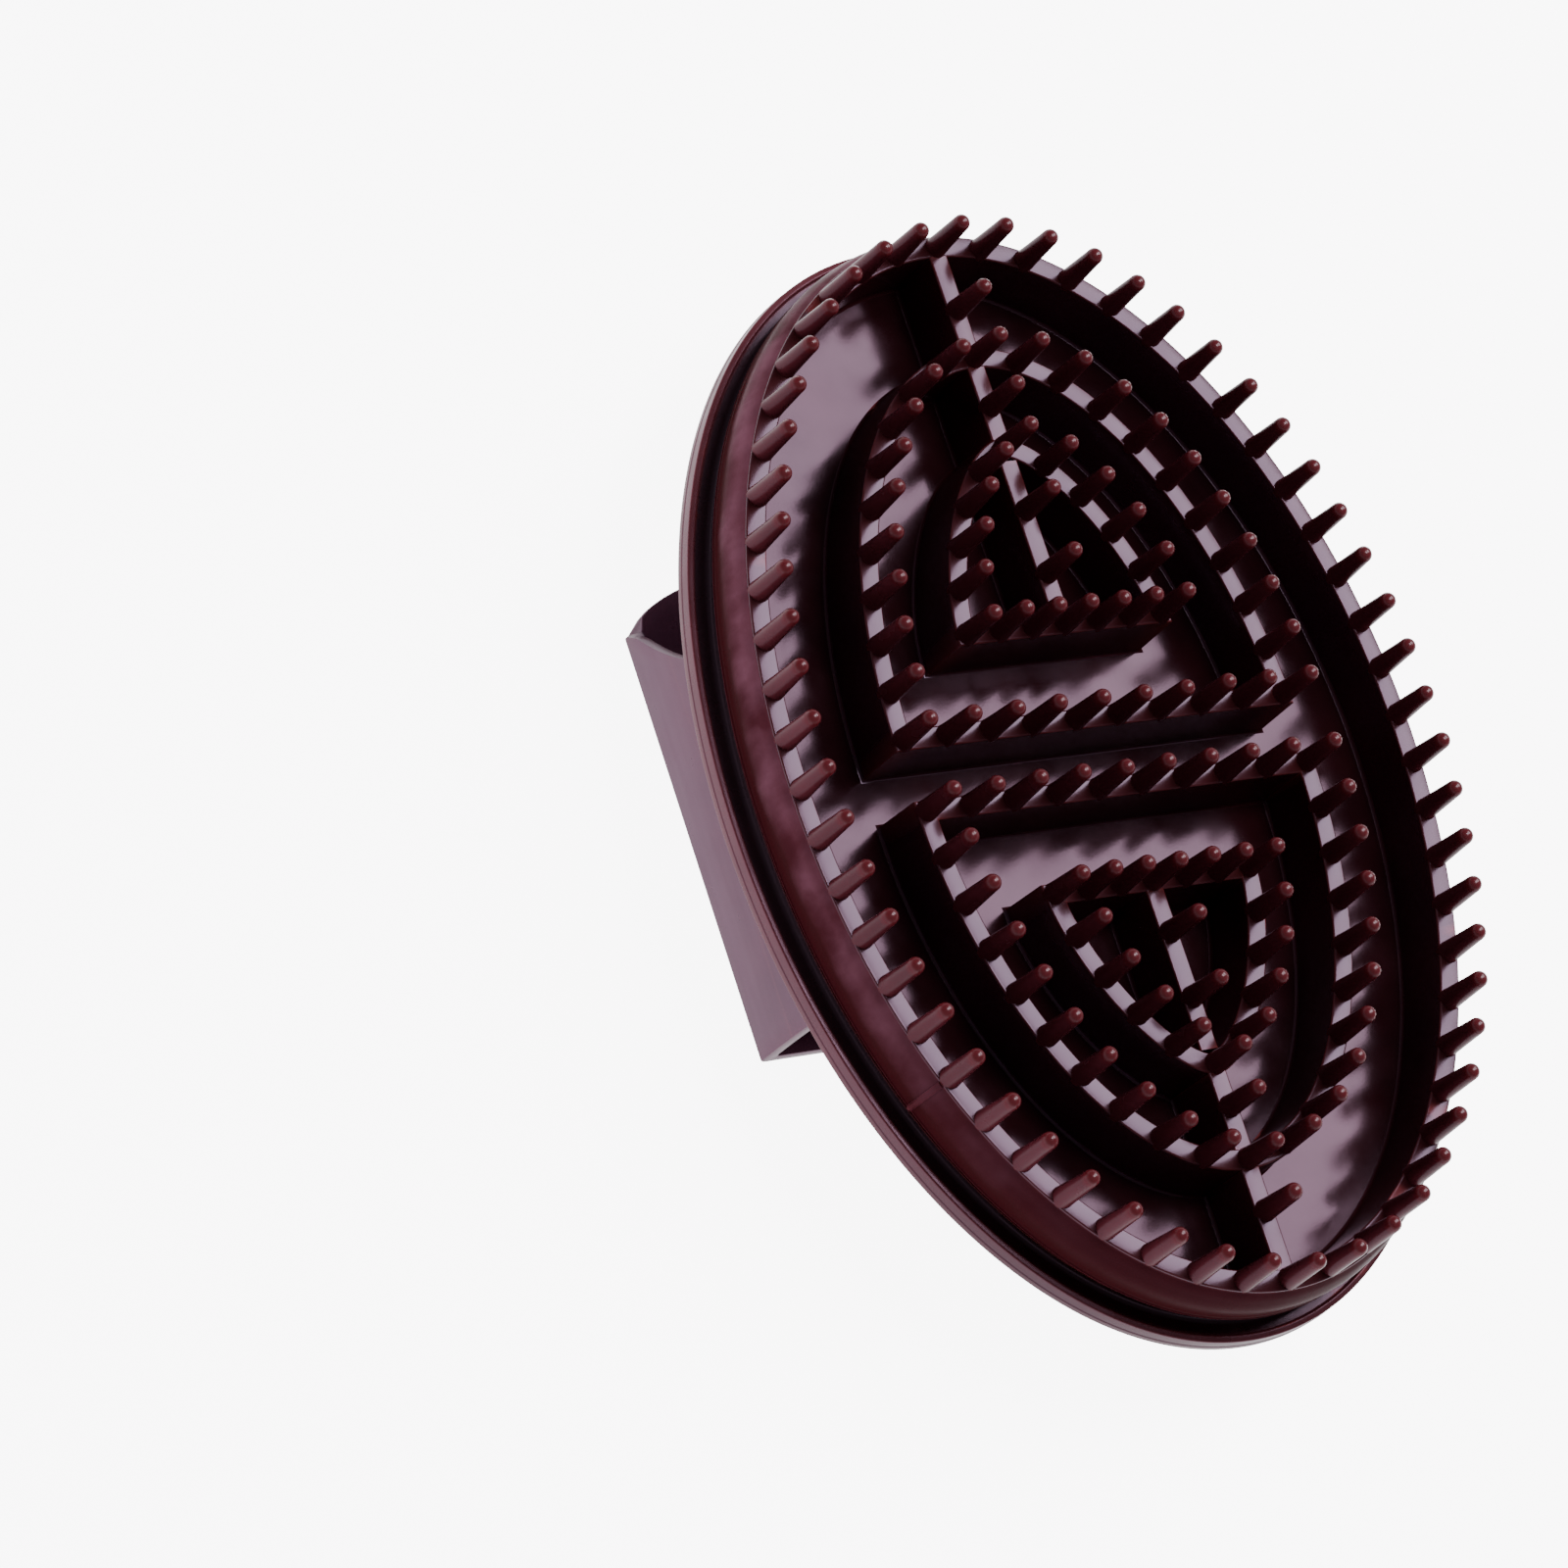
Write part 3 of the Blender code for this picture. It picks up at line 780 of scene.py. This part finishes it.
def station_at(outer, inner, heel, toe):
    """One cross-section of the strap: its faces' places, as (x, z), and its heel and toe ends."""
    return {"outer": outer, "inner": inner, "heel": heel, "toe": toe}


def flank_station(z, half):
    """A flank's cross-section at a height, with its half thickness."""
    heel, toe = flank_ends(z)
    x = RIGHT_FOLD.x + FLANK_BOW * sin(pi * lowered_share(z))
    toe -= corner_cut(z - LEFT_FOLD.z)
    return station_at((x + half, z), (x - half, z), heel, toe)


def strap_stations():
    """The right half of the strap, from its root down a flank, round the fold and to the middle."""
    root = [flank_station(BACK_Z - drop, half) for drop, half in ROOT_FLARE]
    start = BACK_Z - FLANK_DROP
    finish = STRAP_Z + FLANK_END_RISE
    heights = [start + (finish - start) * step / FLANK_STEPS for step in range(FLANK_STEPS + 1)]
    flank = [flank_station(z, STRAP_HALF) for z in heights]

    heel, toe = flank_ends(LEFT_FOLD.z)
    edge_x = RIGHT_FOLD.x + STRAP_HALF
    thickness = 2 * STRAP_HALF
    fold = []
    for step in range(FOLD_STEPS + 1):
        turn = pi / 2 * step / FOLD_STEPS
        outer = (edge_x - FOLD_ROUND * (1 - cos(turn)), FOLD_ROUND * (1 - sin(turn)))
        inner = (edge_x - thickness - FOLD_INSIDE_ROUND * (1 - cos(turn)),
                 thickness + FOLD_INSIDE_ROUND * (1 - sin(turn)))
        middle_x = (outer[0] + inner[0]) / 2
        fold.append(station_at(outer, inner, heel, toe + toe_bow(middle_x) - CORNER_DEPTH))

    panel = []
    first_x = edge_x - thickness - FOLD_INSIDE_ROUND - PANEL_INSET
    for step in range(PANEL_STEPS + 1):
        x = first_x * (1 - step / PANEL_STEPS)
        panel_toe = toe + toe_bow(x) - corner_cut(RIGHT_FOLD.x - x)
        panel.append(station_at((x, 0.0), (x, thickness), heel, panel_toe))
    return root, flank, fold, panel


def strap_band(name, stations, side, material):
    """A closed band of strap through its stations, with slightly rounded end faces."""
    form = bmesh.new()
    rows = []
    across = [step / STRAP_COLUMNS for step in range(STRAP_COLUMNS + 1)]
    blunt = STRAP_EDGE_ROUND
    inset = EDGE_CORNER_SHARE * blunt
    for station in stations:
        outer = Vector((station["outer"][0], 0, station["outer"][1]))
        inner = Vector((station["inner"][0], 0, station["inner"][1]))
        heel, toe = station["heel"], station["toe"]
        share = blunt / (outer - inner).length
        inset_share = EDGE_CORNER_SHARE * share
        face = [(heel + blunt + (toe - heel - 2 * blunt) * part, 0.0) for part in across]
        loop = face + [(toe - inset, inset_share), (toe, share), (toe, 1 - share),
                       (toe - inset, 1 - inset_share)]
        loop += [(y, 1.0) for y, _ in reversed(face)]
        loop += [(heel + inset, 1 - inset_share), (heel, 1 - share), (heel, share),
                 (heel + inset, inset_share)]
        row = []
        for y, depth in loop:
            place = outer.lerp(inner, depth)
            row.append(form.verts.new((side * place.x, y, place.z)))
        rows.append(row)
    skin(form, rows, closed_loop=False)
    form.faces.new(rows[0])
    form.faces.new(rows[-1])
    return add_piece(name, form, material)


def knuckle(half, way):
    """Stations that round an end off about the sway's axis, upwards or downwards."""
    rounds = []
    for step in range(1, KNUCKLE_STEPS):
        angle = pi / 2 * step / KNUCKLE_STEPS
        width = half * cos(angle)
        rise = half * sin(angle) * way
        rounds.append(flank_station(SWAY.z + rise, width))
    return rounds


def make_strap(material):
    """The hand strap's six bands. Both sides are alike but for the pivot that is opened on the right."""
    root, flank, fold, panel = strap_stations()
    upper = [station for station in flank if station["outer"][1] > SPLIT_Z]
    seam = flank_station(SPLIT_Z, STRAP_HALF)
    lower = [station for station in flank if station["outer"][1] < SPLIT_Z]
    near = [station for station in panel if station["outer"][0] > SPLIT_X]
    across = [station for station in panel if station["outer"][0] <= SPLIT_X]
    near.append(across[0])

    left_root = strap_band("strap_left_root_band", root + upper + [seam], -1, material)
    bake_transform(left_root)
    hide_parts("strap_left_root", "strap_left_flank")

    left_fold = strap_band("strap_left_fold_band", [seam] + lower + fold + near, -1, material)
    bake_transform(left_fold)

    beyond = []
    for station in reversed(across[:-1]):
        (outer_x, outer_z), (inner_x, inner_z) = station["outer"], station["inner"]
        beyond.append(station_at((-outer_x, outer_z), (-inner_x, inner_z), station["heel"], station["toe"]))
    back = strap_band("strap_back_band", across + beyond, 1, material)
    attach(back, "back_panel")
    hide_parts("strap_back_panel")

    right_fold = strap_band("strap_right_fold_band", [seam] + lower + fold + near, 1, material)
    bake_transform(right_fold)

    below = [station for station in upper if station["outer"][1] < SWAY.z]
    crown = list(reversed(knuckle(STRAP_HALF, 1)))
    right_flank = strap_band("strap_right_flank_band", crown + below + [seam], 1, material)
    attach(right_flank, "right_flank")
    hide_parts("strap_right_flank")

    above = [station for station in upper if station["outer"][1] > SWAY.z]
    foot = knuckle(STRAP_HALF + KNUCKLE_PROUD, -1)
    right_root = strap_band("strap_right_root_band", root + above + foot, 1, material)
    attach(right_root, "pad")
    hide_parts("strap_right_root")


# Studio -----------------------------------------------------------------------------------------

# The camera's place, the directions of its own axes, and its lens in millimetres
CAMERA_PLACE = (-0.5438, -0.2493, 0.7402)
CAMERA_RIGHT = (0.83044, -0.29872, 0.47024)
CAMERA_UP = (0.10438, 0.91257, 0.39537)
CAMERA_BACK = (-0.54723, -0.27925, 0.78902)
CAMERA_LENS = 155.0

PAPER_HALF_SIZE = 3.0
PAPER_DROP = 0.0002             # the paper lies this far under the strap's back
PAPER_GLOW = 8.0                # what the camera sees
PAPER_LIGHT = 1.4               # and what the brush receives

HORIZON_LIGHT = 1.0
OVERHEAD_LIGHT = 0.12
OVERHEAD_FROM = 0.40            # the upward share of a direction from which it counts as overhead

# Each softbox's name, direction from the brush, distance, size, watts and colour
SOFTBOXES = [
    ("far_softbox", (0.587, 0.269, 0.764), 0.85, (0.44, 0.42), 4.6, (1.0, 0.97, 1.0)),
    ("top_softbox", (0.16, 0.10, 1.0), 0.95, (0.36, 0.36), 5.5, (1.0, 0.95, 0.96)),
]


def make_camera():
    camera = bpy.data.objects.new("camera", bpy.data.cameras.new("camera"))
    camera.data.lens = CAMERA_LENS
    camera.data.clip_start = 0.01
    camera.data.clip_end = 20
    turned = Matrix((CAMERA_RIGHT, CAMERA_UP, CAMERA_BACK)).transposed().to_4x4()
    camera.matrix_world = Matrix.Translation(CAMERA_PLACE) @ turned
    bpy.context.scene.collection.objects.link(camera)
    bpy.context.scene.camera = camera


def add_softbox(name, direction, distance, size, power_watts, colour):
    """A rectangular area light that faces the brush."""
    light = bpy.data.lights.new(name, "AREA")
    light.shape = "RECTANGLE"
    light.size, light.size_y = size
    light.energy = power_watts
    light.color = colour
    box = bpy.data.objects.new(name, light)
    away = Vector(direction).normalized()
    box.location = away * distance + Vector((0, 0, LAND_Z))
    box.rotation_mode = "QUATERNION"
    box.rotation_quaternion = away.to_track_quat("Z", "Y")
    bpy.context.scene.collection.objects.link(box)


def make_paper():
    """The white paper floor. It glows more for the camera than it lights the brush."""
    form = bmesh.new()
    bmesh.ops.create_grid(form, x_segments=8, y_segments=8, size=PAPER_HALF_SIZE)
    bmesh.ops.translate(form, verts=form.verts, vec=(0, 0, -PAPER_DROP))
    paper = Shader("paper")
    grain = paper.noise(900, 3)
    colour = paper.mix(paper.between(grain, 0, 1), (0.80, 0.80, 0.81, 1), (0.83, 0.83, 0.84, 1))
    paper.link(colour, paper.principled.inputs["Base Color"])
    paper.principled.inputs["Roughness"].default_value = 0.9
    paper.principled.inputs["Emission Color"].default_value = (1.0, 0.985, 1.0, 1)
    seen = paper.add("ShaderNodeLightPath").outputs["Is Camera Ray"]
    glow = paper.between(seen, PAPER_LIGHT, PAPER_GLOW, 0, 1)
    paper.link(glow, paper.principled.inputs["Emission Strength"])
    floor = add_piece("studio_floor", form, paper.material)


def make_sky():
    """A world that is bright at the horizon and dim overhead."""
    world = bpy.data.worlds.new("studio")
    world.use_nodes = True
    tree = world.node_tree
    background = tree.nodes["Background"]
    background.inputs["Color"].default_value = (0.96, 0.95, 1.0, 1)
    direction = tree.nodes.new("ShaderNodeTexCoord")
    split = tree.nodes.new("ShaderNodeSeparateXYZ")
    fall = tree.nodes.new("ShaderNodeMapRange")
    fall.inputs["From Min"].default_value = 0
    fall.inputs["From Max"].default_value = OVERHEAD_FROM
    fall.inputs["To Min"].default_value = HORIZON_LIGHT
    fall.inputs["To Max"].default_value = OVERHEAD_LIGHT
    tree.links.new(direction.outputs["Generated"], split.inputs["Vector"])
    tree.links.new(split.outputs["Z"], fall.inputs["Value"])
    tree.links.new(fall.outputs["Result"], background.inputs["Strength"])
    bpy.context.scene.world = world


def make_studio():
    make_paper()
    make_sky()
    for softbox in SOFTBOXES:
        add_softbox(*softbox)


def main():
    make_camera()
    make_studio()
    materials = make_materials()
    make_base(materials["flange"])
    make_floor(materials["floor"])
    make_ring(materials["rib"])
    make_outer_wall(materials["wall"])
    make_pins(materials["pin"])
    for end in (1, -1):
        for which in ("outer", "inner"):
            make_d_rib(which, end, materials["rib"])
        for place in SPINE_PINS:
            make_spine(place, end, materials["rib"])
    make_strap(materials["strap"])


main()
